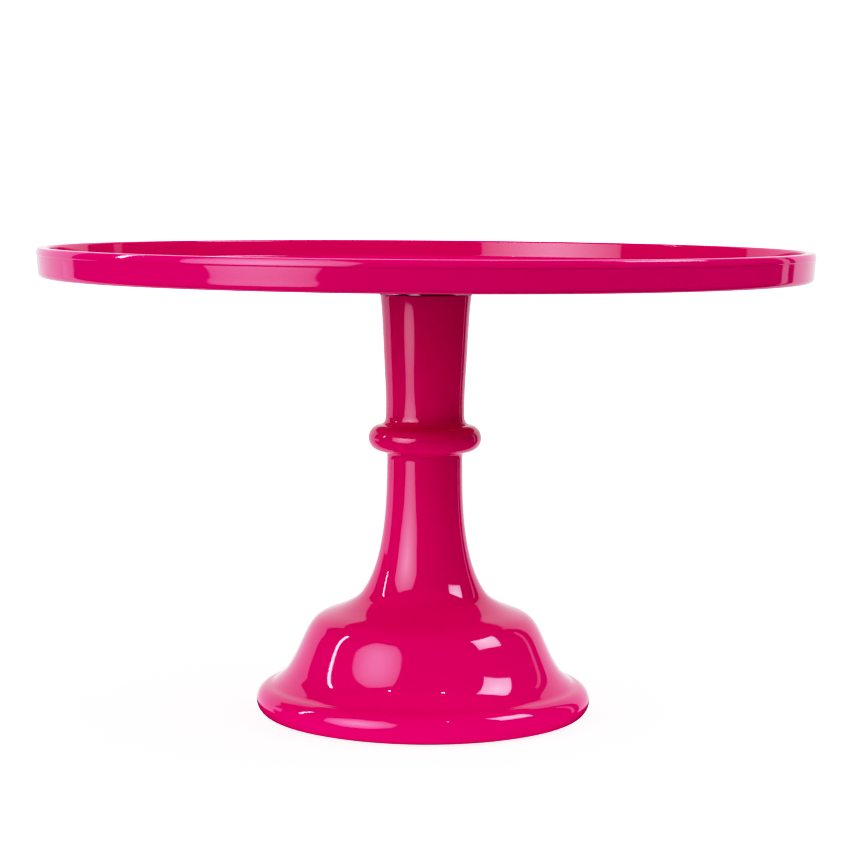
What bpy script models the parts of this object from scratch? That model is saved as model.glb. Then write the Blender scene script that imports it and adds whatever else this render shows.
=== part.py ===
"""Pedestal cake turntable: a plate with a raised rim that turns on a one-piece hollow pedestal.

The plate is screwed to a hub. The hub turns on a spindle in a bearing tube, and a thrust ball
bearing in the mouth of the stem carries its weight. All lengths are in metres and +Z is up. The
origin is on the spin axis, at the bottom of the rubber foot ring.
"""

import math

import bpy
import bmesh
from mathutils import Vector

MM = 0.001
GAP = 0.3 * MM              # clearance between pieces that touch on the real object
FULL_TURN = 2.0 * math.pi

# Plate
PLATE_RADIUS = 149.2 * MM
PLATE_TOP = 182.0 * MM      # highest point of the rim, and the height of the whole object
RIM_HEIGHT = 11.5 * MM
LIP_THICKNESS = 4.2 * MM
LIP_INNER_ROUND = 0.9 * MM
LIP_OUTER_ROUND = 1.4 * MM
BAND_HEIGHT = 2.6 * MM      # from the top of the lip to the step below it
STEP_DEPTH = 0.2 * MM
RIM_DRAFT = 0.5 * MM        # how far the face leans in between the step and the lower corner
RIM_CORNER = 2.3 * MM
WELL_DEPTH = 8.0 * MM
WELL_FILLET = 1.8 * MM
BOSS_RADIUS = 30.0 * MM
BOSS_DEPTH = 4.7 * MM
BOSS_FILLET = 1.0 * MM
BOSS_DRAFT = 0.5 * MM
POCKET_OVERLAP = 1.0 * MM   # how far the cutters of the insert pockets start below the recess

# Pedestal: outer shape
MOUTH_HEIGHT = 164.6 * MM
BEAD_HEIGHT = 108.7 * MM    # height of the centre of the bead's round section
BEAD_CENTRE = 16.8 * MM     # its distance from the axis
BEAD_RADIUS = 5.25 * MM
CREASE_INSET = 0.6 * MM     # from the bead's centre inwards to the hollow where the stem meets it
CREASE_RISE = 1.0 * MM      # from the bead's top up to the same point
ROLL_HEIGHT = 6.5 * MM      # the same three sizes for the rolled edge of the foot
ROLL_CENTRE = 59.15 * MM
ROLL_RADIUS = 5.95 * MM
STEM_ABOVE_BEAD = [(17.9, 164.6), (17.15, 157.5), (16.2, 140.0), (15.4, 124.0), (15.4, 117.2)]
STEM_AND_DOME = [
    (14.75, 101.3), (14.8, 92.0), (15.5, 78.0), (17.2, 66.0), (20.0, 56.0), (24.3, 48.0), (27.8, 45.0),
    (34.0, 42.0), (42.0, 38.2), (47.1, 30.0), (50.6, 22.5), (54.1, 17.0), (58.2, 13.2),
]                           # (radius, height) of both stretches, in millimetres

# Pedestal: inside
WALL = 3.6 * MM
WEB_TOP = 66.0 * MM
WEB_BOTTOM = 62.0 * MM
BORE_TOP_RADIUS = 11.9 * MM
BORE_BOTTOM_RADIUS = 11.1 * MM
SOCKET_RADIUS = 14.2 * MM   # the socket in the mouth that holds the bearing cup
SOCKET_FLOOR = 153.0 * MM
FOOT_INNER_RADIUS = 52.3 * MM
DOME_INSIDE_HEIGHT = 17.0 * MM
FOOT_LEAN = 1.0 * MM        # how far the straight inner wall of the foot leans in
FOOT_WALL_DROP = 5.0 * MM   # from the start of the curved dome inside to the top of that wall
WEB_FILLET = 2.0 * MM
WEB_CORNER = 1.0 * MM

# Rubber ring in the groove under the foot
RING_INNER = 54.3 * MM
RING_OUTER = 58.3 * MM
RING_HEIGHT = 2.3 * MM

# Bearing tube with the bearing cup at its head
CUP_RADIUS = SOCKET_RADIUS - GAP
CUP_BORE = 12.3 * MM
CUP_FLOOR = 156.2 * MM
TUBE_RADIUS = 8.0 * MM
TUBE_BORE = 6.8 * MM
TUBE_END = 53.5 * MM
BUSH_RADIUS = TUBE_BORE - GAP
UPPER_BUSH_BOTTOM = 142.0 * MM
LOWER_BUSH_TOP = 66.0 * MM
BUSH_FLANGE = 1.5 * MM

# Thrust ball bearing, 10 x 24 x 9
RACE_HEIGHT = 2.7 * MM
RACE_RADIUS = 12.0 * MM
UPPER_RACE_RADIUS = 11.7 * MM
LOWER_RACE_BORE = 5.5 * MM
BALL_COUNT = 8
BALL_RADIUS = 2.2 * MM
BALL_CIRCLE = 8.7 * MM
BALL_HEIGHT = 161.0 * MM
RACE_OFFSET = 1.8 * MM      # from the plane of the ball centres to the face of each race
CAGE_THICKNESS = 1.2 * MM
CAGE_INNER = 5.9 * MM
CAGE_OUTER = 11.5 * MM

# Spindle and hub
SPINDLE_RADIUS = 5.0 * MM
SPINDLE_BORE = SPINDLE_RADIUS + GAP
SPINDLE_HEAD_RADIUS = 7.0 * MM
SPINDLE_HEAD_HEIGHT = 1.5 * MM
SPINDLE_THREAD_RADIUS = 4.0 * MM
SPINDLE_SHOULDER = 51.4 * MM
SPINDLE_END = 39.5 * MM
END_CHAMFER = 0.8 * MM
HUB_RADIUS = 21.0 * MM
HUB_THICKNESS = 2.7 * MM

# Hub screws, M4 countersunk, in brass inserts
SCREW_COUNT = 4
SCREW_CIRCLE = 15.0 * MM
SCREW_RADIUS = 2.0 * MM
SCREW_HEAD_RADIUS = 3.8 * MM
SCREW_HEAD_BASE = 0.15 * MM  # how far the head is sunk below the hub's face
SCREW_HEAD_EDGE = 0.45 * MM
SCREW_CONE_HEIGHT = 2.2 * MM
SCREW_LENGTH = 6.3 * MM
INSERT_RADIUS = 2.8 * MM
INSERT_LENGTH = 3.8 * MM

# Nuts and washers: M16 on the bearing tube, M8 on the spindle
TUBE_WASHER_RADIUS = 12.9 * MM
TUBE_WASHER_THICKNESS = 1.5 * MM
TUBE_NUT_FLATS = 22.0 * MM
TUBE_NUT_HEIGHT = 5.0 * MM
SPINDLE_WASHER_RADIUS = 8.0 * MM
SPINDLE_WASHER_THICKNESS = 1.6 * MM
SPINDLE_NUT_FLATS = 13.0 * MM
SPINDLE_NUT_HEIGHT = 8.0 * MM
NUT_CHAMFER = 0.6 * MM
NUT_SHARP_ANGLE = 70        # degrees; only the edges of the two faces are as sharp as this

# Heights that follow from the sizes above
RIM_BOTTOM = PLATE_TOP - RIM_HEIGHT
WELL_FLOOR = PLATE_TOP - WELL_DEPTH
BOSS_BOTTOM = RIM_BOTTOM - BOSS_DEPTH
HUB_TOP = BOSS_BOTTOM + HUB_THICKNESS
FOOT_BOTTOM = ROLL_HEIGHT - ROLL_RADIUS
TUBE_WASHER_BOTTOM = WEB_BOTTOM - GAP - TUBE_WASHER_THICKNESS
SPINDLE_WASHER_BOTTOM = SPINDLE_SHOULDER - GAP - SPINDLE_WASHER_THICKNESS

# Roundness of the turned pieces
PLATE_STEPS = 72
PEDESTAL_STEPS = 48
SMALL_STEPS = 24
HOLE_STEPS = 12


def clear_scene():
    """Remove every object of the open scene."""
    for item in list(bpy.data.objects):
        bpy.data.objects.remove(item, do_unlink=True)


def make_collection(name):
    """Make a collection in the scene."""
    collection = bpy.data.collections.new(name)
    bpy.context.scene.collection.children.link(collection)
    return collection


def make_material(name, colour, roughness, metallic=0.0):
    """Make a Principled material of one colour."""
    material = bpy.data.materials.new(name)
    material.use_nodes = True
    material.diffuse_color = (*colour, 1.0)
    shader = material.node_tree.nodes["Principled BSDF"]
    shader.inputs["Base Color"].default_value = (*colour, 1.0)
    shader.inputs["Roughness"].default_value = roughness
    shader.inputs["Metallic"].default_value = metallic
    return material


def add_object(name, mesh, material=None):
    """Put a mesh in the scene, as a part when it has a material and as a cutter when it has none."""
    item = bpy.data.objects.new(name, mesh)
    if material is None:
        cutters.objects.link(item)
        item.hide_render = True
        item.display_type = "WIRE"
    else:
        parts.objects.link(item)
        mesh.materials.append(material)
    return item


def arc(centre, radius, start, end, steps):
    """Points (radius, height) on an arc, with angles in degrees from the outward direction."""
    points = []
    for step in range(steps + 1):
        angle = math.radians(start + (end - start) * step / steps)
        points.append((centre[0] + radius * math.cos(angle), centre[1] + radius * math.sin(angle)))
    return points


def smooth_curve(knots, spans):
    """Points on a Catmull-Rom curve through the knots, with so many spans between two knots."""
    knots = [Vector(knot) for knot in knots]
    padded = [2 * knots[0] - knots[1], *knots, 2 * knots[-1] - knots[-2]]
    points = []
    for before, start, end, after in zip(padded, padded[1:], padded[2:], padded[3:]):
        for step in range(spans):
            t = step / spans
            point = (
                2 * start
                + (end - before) * t
                + (2 * before - 5 * start + 4 * end - after) * t ** 2
                + (3 * start - before - 3 * end + after) * t ** 3
            ) / 2
            points.append(tuple(point))
    points.append(tuple(knots[-1]))
    return points


def in_metres(points):
    """Turn (radius, height) points in millimetres into metres."""
    return [(radius * MM, height * MM) for radius, height in points]


def inset(points, distance):
    """Move each point of a descending outline towards the axis side by the distance."""
    moved = []
    for index in range(1, len(points) - 1):
        along = Vector(points[index + 1]) - Vector(points[index - 1])
        inward = Vector((along.y, -along.x)).normalized()
        moved.append(tuple(Vector(points[index]) + inward * distance))
    return moved


def turned(name, outline, steps, material=None, closed=True):
    """Turn an outline of (radius, height) points round the Z axis with a Screw modifier."""
    mesh = bpy.data.meshes.new(name)
    vertices = [(radius, 0.0, height) for radius, height in outline]
    edges = [(index, index + 1) for index in range(len(outline) - 1)]
    if closed:
        edges.append((len(outline) - 1, 0))
    mesh.from_pydata(vertices, edges, [])
    item = add_object(name, mesh, material)
    screw = item.modifiers.new("Turn", "SCREW")
    screw.axis = "Z"
    screw.angle = FULL_TURN
    screw.steps = steps
    screw.render_steps = steps
    screw.use_merge_vertices = True
    screw.merge_threshold = 0.00001
    screw.use_smooth_shade = True
    screw.use_normal_calculate = False
    return item


def turned_ring(name, inner, outer, bottom, top, steps, material):
    """A plain turned ring with square edges."""
    outline = [(inner, top), (outer, top), (outer, bottom), (inner, bottom)]
    return turned(name, outline, steps, material)


def cut(item, cutter):
    """Cut the cutter's shape out of an object."""
    boolean = item.modifiers.new("Cut " + cutter.name, "BOOLEAN")
    boolean.operation = "DIFFERENCE"
    boolean.solver = "EXACT"
    boolean.object = cutter


def around(count, radius, height):
    """Places spread evenly on a circle round the axis."""
    angles = [FULL_TURN * index / count for index in range(count)]
    return [Vector((radius * math.cos(angle), radius * math.sin(angle), height)) for angle in angles]


def place_cylinders(name, places, radius, length):
    """One cutter of separate upright cylinders whose bottoms are at the places."""
    shape = bmesh.new()
    for place in places:
        made = bmesh.ops.create_cone(
            shape, cap_ends=True, segments=HOLE_STEPS, radius1=radius, radius2=radius, depth=length
        )
        bmesh.ops.translate(shape, verts=made["verts"], vec=place + Vector((0.0, 0.0, length / 2)))
    mesh = bpy.data.meshes.new(name)
    shape.to_mesh(mesh)
    shape.free()
    return add_object(name, mesh)


def build_plate(material):
    """The plate: rounded lip, step, leaning rim face, shallow well and the boss for the hub."""
    well_radius = PLATE_RADIUS - LIP_THICKNESS
    inner_round = (well_radius + LIP_INNER_ROUND, PLATE_TOP - LIP_INNER_ROUND)
    outer_round = (PLATE_RADIUS - LIP_OUTER_ROUND, PLATE_TOP - LIP_OUTER_ROUND)
    step_height = PLATE_TOP - BAND_HEIGHT
    face_radius = PLATE_RADIUS - STEP_DEPTH
    corner_centre = (face_radius - RIM_DRAFT - RIM_CORNER, RIM_BOTTOM + RIM_CORNER)
    well_centre = (well_radius - WELL_FILLET, WELL_FLOOR + WELL_FILLET)
    recess_radius = HUB_RADIUS + GAP
    recess_top = HUB_TOP + GAP
    outline = [(0.0, WELL_FLOOR)]
    outline += arc(well_centre, WELL_FILLET, 270, 360, 4)
    outline += arc(inner_round, LIP_INNER_ROUND, 180, 90, 3)
    outline += arc(outer_round, LIP_OUTER_ROUND, 90, 0, 3)
    outline += [(PLATE_RADIUS, step_height + STEP_DEPTH / 2), (face_radius, step_height - STEP_DEPTH / 2)]
    outline += arc(corner_centre, RIM_CORNER, 0, -90, 4)
    outline += [(BOSS_RADIUS + BOSS_FILLET, RIM_BOTTOM), (BOSS_RADIUS, RIM_BOTTOM - BOSS_FILLET)]
    outline += [(BOSS_RADIUS - BOSS_DRAFT, BOSS_BOTTOM), (recess_radius, BOSS_BOTTOM)]
    outline += [(recess_radius, recess_top), (0.0, recess_top)]
    plate = turned("cake_plate", outline, PLATE_STEPS, material, closed=False)
    pockets = place_cylinders(
        "insert_pockets",
        around(SCREW_COUNT, SCREW_CIRCLE, recess_top - POCKET_OVERLAP),
        INSERT_RADIUS + GAP,
        INSERT_LENGTH + GAP + POCKET_OVERLAP,
    )
    cut(plate, pockets)
    return plate


def pedestal_outside():
    """The outer outline of the pedestal, from the mouth of the stem down to the foot's underside."""
    bead = arc((BEAD_CENTRE, BEAD_HEIGHT), BEAD_RADIUS, 88, -97, 9)
    roll = arc((ROLL_CENTRE, ROLL_HEIGHT), ROLL_RADIUS, 80, -90, 9)
    outline = in_metres(smooth_curve(STEM_ABOVE_BEAD, 2))
    outline += [(BEAD_CENTRE - CREASE_INSET, BEAD_HEIGHT + BEAD_RADIUS + CREASE_RISE)]
    outline += bead
    outline += in_metres(smooth_curve(STEM_AND_DOME, 2))
    outline += roll
    return outline


def pedestal_inside():
    """The inner outline of the pedestal, from the foot's underside up to the socket in the mouth."""
    under_skin = inset(in_metres(smooth_curve(STEM_AND_DOME, 1)), WALL)
    dome = [point for point in under_skin if DOME_INSIDE_HEIGHT < point[1] < WEB_BOTTOM - WEB_FILLET]
    outline = [(FOOT_INNER_RADIUS, FOOT_BOTTOM)]
    outline += [(FOOT_INNER_RADIUS - FOOT_LEAN, DOME_INSIDE_HEIGHT - FOOT_WALL_DROP)]
    outline += reversed(dome)
    outline += [(dome[0][0] - WEB_CORNER, WEB_BOTTOM), (TUBE_RADIUS + GAP, WEB_BOTTOM)]
    outline += [(TUBE_RADIUS + GAP, WEB_TOP), (BORE_BOTTOM_RADIUS, WEB_TOP)]
    outline += [(BORE_TOP_RADIUS, SOCKET_FLOOR), (SOCKET_RADIUS, SOCKET_FLOOR), (SOCKET_RADIUS, MOUTH_HEIGHT)]
    return outline


def build_pedestal(material):
    """The pedestal: stem with bead, domed foot, groove for the ring, hollow inside with one web."""
    groove_top = RING_HEIGHT + GAP
    groove = [(RING_OUTER + GAP, FOOT_BOTTOM), (RING_OUTER + GAP, groove_top)]
    groove += [(RING_INNER - GAP, groove_top), (RING_INNER - GAP, FOOT_BOTTOM)]
    outline = pedestal_outside() + groove + pedestal_inside()
    return turned("pedestal", outline, PEDESTAL_STEPS, material)


def build_foot_ring(material):
    """The rubber ring that the pedestal stands on."""
    return turned_ring("foot_ring", RING_INNER, RING_OUTER, 0.0, RING_HEIGHT, PEDESTAL_STEPS, material)


def build_bearing_tube(material):
    """The tube through the stem, with the cup that holds the thrust bearing at its head."""
    outline = [(CUP_BORE, MOUTH_HEIGHT), (CUP_RADIUS, MOUTH_HEIGHT), (CUP_RADIUS, SOCKET_FLOOR + GAP)]
    outline += [(TUBE_RADIUS, SOCKET_FLOOR + GAP), (TUBE_RADIUS, TUBE_END + END_CHAMFER)]
    outline += [(TUBE_RADIUS - END_CHAMFER / 2, TUBE_END), (TUBE_BORE, TUBE_END)]
    outline += [(TUBE_BORE, CUP_FLOOR), (CUP_BORE, CUP_FLOOR)]
    return turned("bearing_tube", outline, SMALL_STEPS, material)


def build_bushes(material):
    """The two plain bushes that guide the spindle inside the tube."""
    turned_ring(
        "upper_bush", SPINDLE_BORE, BUSH_RADIUS, UPPER_BUSH_BOTTOM, CUP_FLOOR - GAP, SMALL_STEPS, material
    )
    flange_top = TUBE_END - GAP
    flange_bottom = flange_top - BUSH_FLANGE
    outline = [(SPINDLE_BORE, LOWER_BUSH_TOP), (BUSH_RADIUS, LOWER_BUSH_TOP), (BUSH_RADIUS, flange_top)]
    outline += [(TUBE_RADIUS, flange_top), (TUBE_RADIUS, flange_bottom), (SPINDLE_BORE, flange_bottom)]
    turned("lower_bush", outline, SMALL_STEPS, material)


def race_outline(inner, outer, direction):
    """The outline of a race whose grooved face looks at the balls; direction is +1 above them."""
    groove_radius = BALL_RADIUS + GAP
    face = BALL_HEIGHT + direction * RACE_OFFSET
    back = face + direction * RACE_HEIGHT
    half_angle = math.degrees(math.acos(RACE_OFFSET / groove_radius))
    middle = 90 * direction
    groove = arc((BALL_CIRCLE, BALL_HEIGHT), groove_radius, middle - half_angle, middle + half_angle, 4)
    if direction < 0:
        return [(inner, face), *groove, (outer, face), (outer, back), (inner, back)]
    return [(inner, back), (outer, back), (outer, face), *groove, (inner, face)]


def build_bearing(steel, brass):
    """The thrust bearing: two races, the cage and the balls."""
    lower = race_outline(LOWER_RACE_BORE, RACE_RADIUS, -1)
    turned("lower_race", lower, SMALL_STEPS, steel)
    upper = race_outline(SPINDLE_BORE, UPPER_RACE_RADIUS, 1)
    turned("upper_race", upper, SMALL_STEPS, steel)
    cage_bottom = BALL_HEIGHT - CAGE_THICKNESS / 2
    cage = turned_ring(
        "ball_cage", CAGE_INNER, CAGE_OUTER, cage_bottom, cage_bottom + CAGE_THICKNESS, 2 * SMALL_STEPS, brass
    )
    pockets = place_cylinders(
        "ball_pockets",
        around(BALL_COUNT, BALL_CIRCLE, BALL_HEIGHT - CAGE_THICKNESS),
        BALL_RADIUS + GAP,
        2 * CAGE_THICKNESS,
    )
    cut(cage, pockets)
    for index, place in enumerate(around(BALL_COUNT, BALL_CIRCLE, BALL_HEIGHT)):
        build_ball("ball_" + str(index + 1), place, steel)


def build_ball(name, place, material):
    """One ball of the bearing."""
    shape = bmesh.new()
    bmesh.ops.create_uvsphere(shape, u_segments=12, v_segments=7, radius=BALL_RADIUS)
    mesh = bpy.data.meshes.new(name)
    shape.to_mesh(mesh)
    shape.free()
    mesh.shade_smooth()
    ball = add_object(name, mesh, material)
    ball.location = place


def build_spindle(material):
    """The spindle: flat head in the hub, plain shaft, and a threaded end below a shoulder."""
    head_bottom = HUB_TOP - SPINDLE_HEAD_HEIGHT
    outline = [(0.0, HUB_TOP), (SPINDLE_HEAD_RADIUS, HUB_TOP), (SPINDLE_HEAD_RADIUS, head_bottom)]
    outline += [(SPINDLE_RADIUS, head_bottom), (SPINDLE_RADIUS, SPINDLE_SHOULDER)]
    outline += [(SPINDLE_THREAD_RADIUS, SPINDLE_SHOULDER), (SPINDLE_THREAD_RADIUS, SPINDLE_END + END_CHAMFER)]
    outline += [(SPINDLE_THREAD_RADIUS - END_CHAMFER, SPINDLE_END), (0.0, SPINDLE_END)]
    turned("spindle", outline, SMALL_STEPS, material, closed=False)


def build_hub(material):
    """The round hub under the plate, counterbored for the spindle's head and countersunk for screws."""
    head_seat = HUB_TOP - SPINDLE_HEAD_HEIGHT - GAP
    outline = [(SPINDLE_HEAD_RADIUS + GAP, HUB_TOP), (HUB_RADIUS, HUB_TOP), (HUB_RADIUS, BOSS_BOTTOM)]
    outline += [(SPINDLE_BORE, BOSS_BOTTOM), (SPINDLE_BORE, head_seat), (SPINDLE_HEAD_RADIUS + GAP, head_seat)]
    hub = turned("plate_hub", outline, 2 * SMALL_STEPS, material)
    for index, place in enumerate(around(SCREW_COUNT, SCREW_CIRCLE, BOSS_BOTTOM)):
        cutter = turned("hub_screw_hole_" + str(index + 1), screw_outline(GAP), HOLE_STEPS, closed=False)
        cutter.location = place
        cut(hub, cutter)


def screw_outline(margin):
    """The outline of a countersunk screw that points up from its head; a margin makes it a hole."""
    head = SCREW_HEAD_RADIUS + margin
    shank = SCREW_RADIUS + margin
    base = SCREW_HEAD_BASE - 2 * margin
    outline = [(0.0, SCREW_LENGTH), (shank, SCREW_LENGTH), (shank, SCREW_CONE_HEIGHT + margin)]
    outline += [(head, SCREW_HEAD_EDGE), (head, base), (0.0, base)]
    return outline


def build_hub_screws(steel, brass):
    """The screws that hold the hub, and the brass inserts that they bite in."""
    heads = around(SCREW_COUNT, SCREW_CIRCLE, BOSS_BOTTOM)
    seats = around(SCREW_COUNT, SCREW_CIRCLE, 0.0)
    insert_bottom = HUB_TOP + GAP
    for index, (head, seat) in enumerate(zip(heads, seats)):
        number = str(index + 1)
        screw = turned("hub_screw_" + number, screw_outline(0.0), HOLE_STEPS, steel, closed=False)
        screw.location = head
        insert = turned_ring(
            "insert_" + number,
            SCREW_RADIUS + GAP,
            INSERT_RADIUS,
            insert_bottom,
            insert_bottom + INSERT_LENGTH,
            HOLE_STEPS,
            brass,
        )
        insert.location = seat


def build_nut(name, flats, bore, bottom, height, material):
    """A hexagon nut with chamfered corners and a plain bore."""
    shape = bmesh.new()
    corner = flats / math.sqrt(3.0)
    bmesh.ops.create_cone(shape, cap_ends=True, segments=6, radius1=corner, radius2=corner, depth=height)
    mesh = bpy.data.meshes.new(name)
    shape.to_mesh(mesh)
    shape.free()
    nut = add_object(name, mesh, material)
    nut.location = (0.0, 0.0, bottom + height / 2)
    bevel = nut.modifiers.new("Chamfer", "BEVEL")
    bevel.width = NUT_CHAMFER
    bevel.segments = 1
    bevel.limit_method = "ANGLE"
    bevel.angle_limit = math.radians(NUT_SHARP_ANGLE)
    start = Vector((0.0, 0.0, bottom - height / 2))
    hole = place_cylinders(name + "_hole", [start], bore, 2 * height)
    cut(nut, hole)


def build_nuts_and_washers(steel):
    """The washer and nut that clamp the tube to the web, and those that hold the spindle up."""
    turned_ring(
        "tube_washer",
        TUBE_RADIUS + GAP,
        TUBE_WASHER_RADIUS,
        TUBE_WASHER_BOTTOM,
        TUBE_WASHER_BOTTOM + TUBE_WASHER_THICKNESS,
        SMALL_STEPS,
        steel,
    )
    turned_ring(
        "spindle_washer",
        SPINDLE_THREAD_RADIUS + GAP,
        SPINDLE_WASHER_RADIUS,
        SPINDLE_WASHER_BOTTOM,
        SPINDLE_WASHER_BOTTOM + SPINDLE_WASHER_THICKNESS,
        SMALL_STEPS,
        steel,
    )
    tube_nut_bottom = TUBE_WASHER_BOTTOM - GAP - TUBE_NUT_HEIGHT
    build_nut("tube_nut", TUBE_NUT_FLATS, TUBE_RADIUS + GAP, tube_nut_bottom, TUBE_NUT_HEIGHT, steel)
    nut_bottom = SPINDLE_WASHER_BOTTOM - GAP - SPINDLE_NUT_HEIGHT
    bore = SPINDLE_THREAD_RADIUS + GAP
    build_nut("spindle_nut", SPINDLE_NUT_FLATS, bore, nut_bottom, SPINDLE_NUT_HEIGHT, steel)


clear_scene()
parts = make_collection("cake_turntable")
cutters = make_collection("cutters")

pink = make_material("pink_melamine", (0.62, 0.0, 0.11), 0.12)
pink_plate = make_material("pink_melamine_plate", (0.62, 0.0, 0.11), 0.12)
rubber = make_material("grey_rubber", (0.06, 0.05, 0.055), 0.8)
aluminium = make_material("turned_aluminium", (0.78, 0.79, 0.8), 0.35, 1.0)
bright_steel = make_material("bright_steel", (0.6, 0.6, 0.62), 0.2, 1.0)
plated_steel = make_material("plated_steel", (0.66, 0.66, 0.64), 0.35, 1.0)
yellow_brass = make_material("brass", (0.75, 0.55, 0.22), 0.3, 1.0)
acetal = make_material("white_acetal", (0.8, 0.79, 0.75), 0.45)

build_plate(pink_plate)
build_hub(aluminium)
build_hub_screws(plated_steel, yellow_brass)
build_spindle(bright_steel)
build_bearing(bright_steel, yellow_brass)
build_bearing_tube(aluminium)
build_bushes(acetal)
build_nuts_and_washers(plated_steel)
build_pedestal(pink)
build_foot_ring(rubber)
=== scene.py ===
"""The looks of the pedestal cake turntable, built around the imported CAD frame.

The plate and the pedestal are smooth turned shells in glossy pink melamine. The pieces of the
bearing are turned, threaded and chamfered metal and plastic. Lengths are in metres, +Z is up and
the spin axis is the Z axis.
"""

import math

import bmesh
import bpy
import numpy as np
from mathutils import Matrix, Vector


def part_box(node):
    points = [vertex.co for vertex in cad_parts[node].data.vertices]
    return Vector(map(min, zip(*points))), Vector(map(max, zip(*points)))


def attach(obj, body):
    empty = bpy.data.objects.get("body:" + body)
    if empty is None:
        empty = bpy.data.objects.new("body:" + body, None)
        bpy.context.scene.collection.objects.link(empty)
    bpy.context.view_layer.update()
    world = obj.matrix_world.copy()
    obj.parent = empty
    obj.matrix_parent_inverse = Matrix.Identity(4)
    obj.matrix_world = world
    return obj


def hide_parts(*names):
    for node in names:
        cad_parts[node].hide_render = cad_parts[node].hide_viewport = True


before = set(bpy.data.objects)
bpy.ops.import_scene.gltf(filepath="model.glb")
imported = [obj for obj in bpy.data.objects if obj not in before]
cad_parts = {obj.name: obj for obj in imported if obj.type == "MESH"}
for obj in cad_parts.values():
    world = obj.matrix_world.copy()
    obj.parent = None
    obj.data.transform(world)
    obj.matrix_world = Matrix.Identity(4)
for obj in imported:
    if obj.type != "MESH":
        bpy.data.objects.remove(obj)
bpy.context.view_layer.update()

MM = 0.001
FULL_TURN = 2.0 * math.pi
TINY = 1e-9                  # lengths closer than this are the same
CLEARANCE = 0.3 * MM         # between a piece and the pocket that it sits in
SHARP = 30.0                 # degrees; edges that turn further than this stay sharp

# Roundness
PLATE_STEPS = 288
PEDESTAL_STEPS = 192
SMALL_STEPS = 96
NUT_STEPS = 72
SHAFT_STEPS = 48
SCREW_STEPS = 36
POCKET_STEPS = 32

# Camera
CAMERA_DISTANCE = 1.0
CAMERA_HEIGHT = 0.2072
CAMERA_PITCH = 5.35          # degrees below the horizon
CAMERA_ROLL = 0.43
SENSOR_WIDTH = 36.0
FOCAL_LENGTH = 109.5         # both in millimetres
NEAREST_SEEN = 0.01


# ---------------------------------------------------------------- outlines

def arc(centre, radius, start, end, steps):
    """Points (radius, height) on an arc, with angles in degrees from the outward direction."""
    points = []
    for step in range(steps + 1):
        angle = math.radians(start + (end - start) * step / steps)
        points.append((centre[0] + radius * math.cos(angle), centre[1] + radius * math.sin(angle)))
    return points


def flowing_curve(knots, spans):
    """Points on a natural cubic spline through the knots, with so many spans between two knots."""
    knots = np.array(knots, float)
    steps = np.sqrt(np.linalg.norm(np.diff(knots, axis=0), axis=1))
    count = len(knots)
    matrix, right = np.eye(count), np.zeros((count, 2))
    for i in range(1, count - 1):
        matrix[i, i - 1] = steps[i - 1]
        matrix[i, i] = 2.0 * (steps[i - 1] + steps[i])
        matrix[i, i + 1] = steps[i]
        right[i] = 6.0 * ((knots[i + 1] - knots[i]) / steps[i] - (knots[i] - knots[i - 1]) / steps[i - 1])
    bend = np.linalg.solve(matrix, right)
    points = []
    for i in range(count - 1):
        step = steps[i]
        for part in range(spans):
            b = step * part / spans
            a = step - b
            point = (bend[i] * a ** 3 + bend[i + 1] * b ** 3) / (6.0 * step)
            point = point + (knots[i] / step - bend[i] * step / 6.0) * a
            point = point + (knots[i + 1] / step - bend[i + 1] * step / 6.0) * b
            points.append((float(point[0]), float(point[1])))
    points.append((float(knots[-1][0]), float(knots[-1][1])))
    return points


def in_metres(points):
    """Turn (radius, height) points in millimetres into metres."""
    return [(radius * MM, height * MM) for radius, height in points]


def inset(points, distance):
    """Move the inner points of a descending outline towards the axis side by the distance."""
    moved = []
    for index in range(1, len(points) - 1):
        along = Vector(points[index + 1]) - Vector(points[index - 1])
        inward = Vector((along.y, -along.x)).normalized()
        moved.append(tuple(Vector(points[index]) + inward * distance))
    return moved


LONGEST_CUT = 0.45           # share of an edge that one rounded corner may take


def softened(outline, radius, steps=3):
    """Round every corner of a closed outline of straight edges with a small curve."""
    points = []
    count = len(outline)
    for index, corner in enumerate(outline):
        here = Vector(corner)
        before = Vector(outline[index - 1]) - here
        after = Vector(outline[(index + 1) % count]) - here
        reach = min(radius, before.length * LONGEST_CUT, after.length * LONGEST_CUT)
        start = here + before.normalized() * reach
        end = here + after.normalized() * reach
        for step in range(steps + 1):
            t = step / steps
            points.append(tuple(start.lerp(here, t).lerp(here.lerp(end, t), t)))
    return points


# ---------------------------------------------------------------- pieces

def finish_piece(piece, body, material, nodes=()):
    """Give a piece its material, put it on its body and hide the CAD nodes that it stands for."""
    piece.data.materials.clear()
    piece.data.materials.append(material)
    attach(piece, body)
    if nodes:
        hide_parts(*nodes)
    return piece


def in_scene(name, data):
    """Put a new object with that data into the scene."""
    item = bpy.data.objects.new(name, data)
    bpy.context.scene.collection.objects.link(item)
    return item


def mesh_from(name, shape):
    """Turn a bmesh into a mesh and free it."""
    mesh = bpy.data.meshes.new(name)
    shape.to_mesh(mesh)
    shape.free()
    return mesh


def smooth(mesh, sharp=SHARP):
    """Shade a mesh smooth, except at edges that turn further than the angle in degrees."""
    mesh.shade_smooth()
    mesh.set_sharp_from_angle(angle=math.radians(sharp))


def object_from(name, shape, sharp=SHARP):
    """Make an object with smooth shading from a bmesh."""
    bmesh.ops.recalc_face_normals(shape, faces=shape.faces)
    mesh = mesh_from(name, shape)
    smooth(mesh, sharp)
    return in_scene(name, mesh)


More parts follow.
